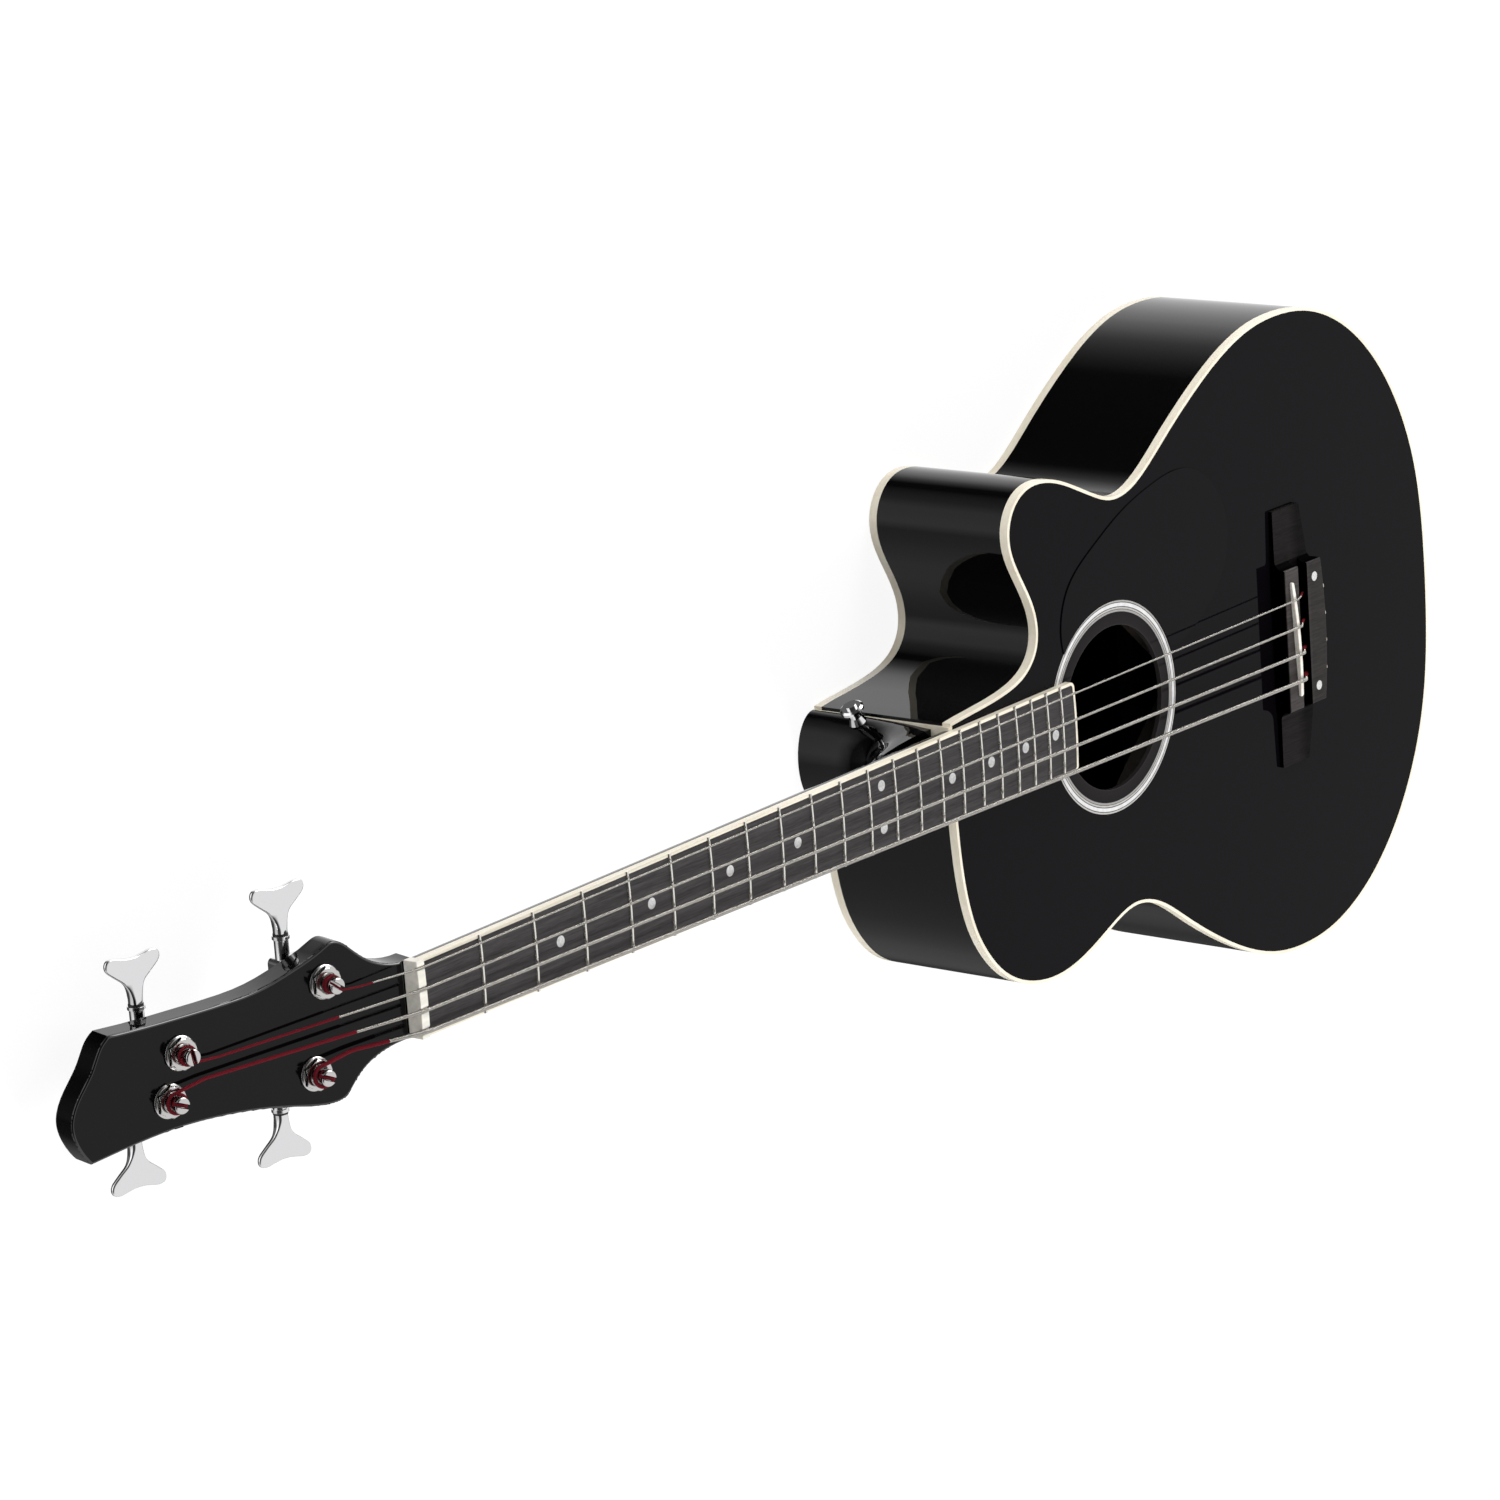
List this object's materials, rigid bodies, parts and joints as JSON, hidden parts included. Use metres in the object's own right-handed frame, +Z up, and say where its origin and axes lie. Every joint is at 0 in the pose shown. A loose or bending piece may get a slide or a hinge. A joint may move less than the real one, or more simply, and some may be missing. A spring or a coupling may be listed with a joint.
{
  "type": "acoustic bass guitar",
  "caption": "Acoustic bass guitar with a rounded cutaway, a stepped bridge strung from its rear, an angled headstock and worm-driven tuning machines.",
  "frame": {"origin": "On the outer face of the back, on the centre line, under the nominal saddle line.", "axes": "+X from the nut to the tail, +Y to the thin-string side, +Z up out of the level back through the soundboard."},
  "size_m": [1.2076, 0.412, 0.1258],
  "materials": {
    "top_lacquer": "black lacquer, slightly satin",
    "body_lacquer": "black lacquer, high gloss",
    "head_lacquer": "black lacquer, satin gloss",
    "cream_binding": "polished cream",
    "ring_inlay": "pale ring with thin dark lines",
    "dark_pickguard": "polished black",
    "inner_wood": "bare wood",
    "dark_wood": "oiled dark wood",
    "white_bone": "polished white",
    "pearl_dots": "polished pale",
    "steel": "plain steel",
    "fret_metal": "polished nickel silver",
    "chrome": "polished plating",
    "wound_string": "round-wound wire with red silk at its ends",
    "brass_ends": "plain brass",
    "brass_gear": "plain brass",
    "black_ring": "black washer"
  },
  "bodies": {
    "root": {"soundboard": "top_lacquer", "back_plate": "body_lacquer", "side_rim": "body_lacquer", "top_binding": "cream_binding", "back_binding": "cream_binding", "fretboard_binding": "cream_binding", "heel_joint_strip": "cream_binding", "rosette": "ring_inlay", "pickguard": "dark_pickguard", "neck_block": "inner_wood", "tail_block": "inner_wood", "top_lining": "inner_wood", "back_lining": "inner_wood", "top_braces": "inner_wood", "back_braces": "inner_wood", "bridge_plate": "inner_wood", "bridge": "dark_wood", "fretboard": "dark_wood", "saddle": "white_bone", "nut": "white_bone", "bridge_dots": "pearl_dots", "position_dots": "pearl_dots", "bridge_bolts": "steel", "truss_rod": "steel", "frets": "fret_metal", "strap_button_heel": "chrome", "strap_screw_heel": "chrome", "strap_button_tail": "chrome", "strap_screw_tail": "chrome", "neck": "body_lacquer", "headstock_veneer": "head_lacquer", "string_e": "wound_string", "string_a": "wound_string", "string_d": "wound_string", "string_g": "wound_string", "string_ball_ends": "brass_ends", "tuner_housings": "chrome", "tuner_covers": "chrome", "tuner_bushings": "chrome", "tuner_washers": "chrome", "tuner_screws": "chrome", "tuner_rings": "black_ring"},
    "key_body_g": {"key_g": "chrome", "worm_g": "steel"},
    "post_body_g": {"post_g": "chrome", "gear_g": "brass_gear"},
    "key_body_d": {"key_d": "chrome", "worm_d": "steel"},
    "post_body_d": {"post_d": "chrome", "gear_d": "brass_gear"},
    "key_body_e": {"key_e": "chrome", "worm_e": "steel"},
    "post_body_e": {"post_e": "chrome", "gear_e": "brass_gear"},
    "key_body_a": {"key_a": "chrome", "worm_a": "steel"},
    "post_body_a": {"post_a": "chrome", "gear_a": "brass_gear"},
    "truss_nut_body": {"truss_rod_nut": "steel"}
  },
  "joints": [
    {"name": "key_turn_g", "type": "hinge", "parent": "root", "child": "key_body_g", "pos_m": [-0.87346, 0.037, 0.04893], "axis": [0, 1, 0], "continuous": true},
    {"name": "post_turn_g", "type": "hinge", "parent": "root", "child": "post_body_g", "pos_m": [-0.87008, 0.022, 0.07339], "axis": [-0.2334, 0, 0.9724], "continuous": true},
    {"name": "key_turn_d", "type": "hinge", "parent": "root", "child": "key_body_d", "pos_m": [-0.96207, 0.02213, 0.02766], "axis": [0, 1, 0], "continuous": true},
    {"name": "post_turn_d", "type": "hinge", "parent": "root", "child": "post_body_d", "pos_m": [-0.95868, 0.00713, 0.05213], "axis": [-0.2334, 0, 0.9724], "continuous": true},
    {"name": "key_turn_e", "type": "hinge", "parent": "root", "child": "key_body_e", "pos_m": [-0.88362, -0.0403, 0.04649], "axis": [0, -1, 0], "continuous": true},
    {"name": "post_turn_e", "type": "hinge", "parent": "root", "child": "post_body_e", "pos_m": [-0.88024, -0.0253, 0.07095], "axis": [-0.2334, 0, 0.9724], "continuous": true},
    {"name": "key_turn_a", "type": "hinge", "parent": "root", "child": "key_body_a", "pos_m": [-0.97101, -0.0311, 0.02552], "axis": [0, -1, 0], "continuous": true},
    {"name": "post_turn_a", "type": "hinge", "parent": "root", "child": "post_body_a", "pos_m": [-0.96762, -0.0161, 0.04998], "axis": [-0.2334, 0, 0.9724], "continuous": true},
    {"name": "truss_nut_turn", "type": "hinge", "parent": "root", "child": "truss_nut_body", "pos_m": [-0.28621, 0, 0.09256], "axis": [0.9997, 0, 0.0261], "range_deg": [-180, 180]}
  ],
  "couplings": [
    {"joint": "post_turn_g", "follows": "key_turn_g", "ratio": -0.055556},
    {"joint": "post_turn_d", "follows": "key_turn_d", "ratio": -0.055556},
    {"joint": "post_turn_e", "follows": "key_turn_e", "ratio": -0.055556},
    {"joint": "post_turn_a", "follows": "key_turn_a", "ratio": -0.055556}
  ]
}
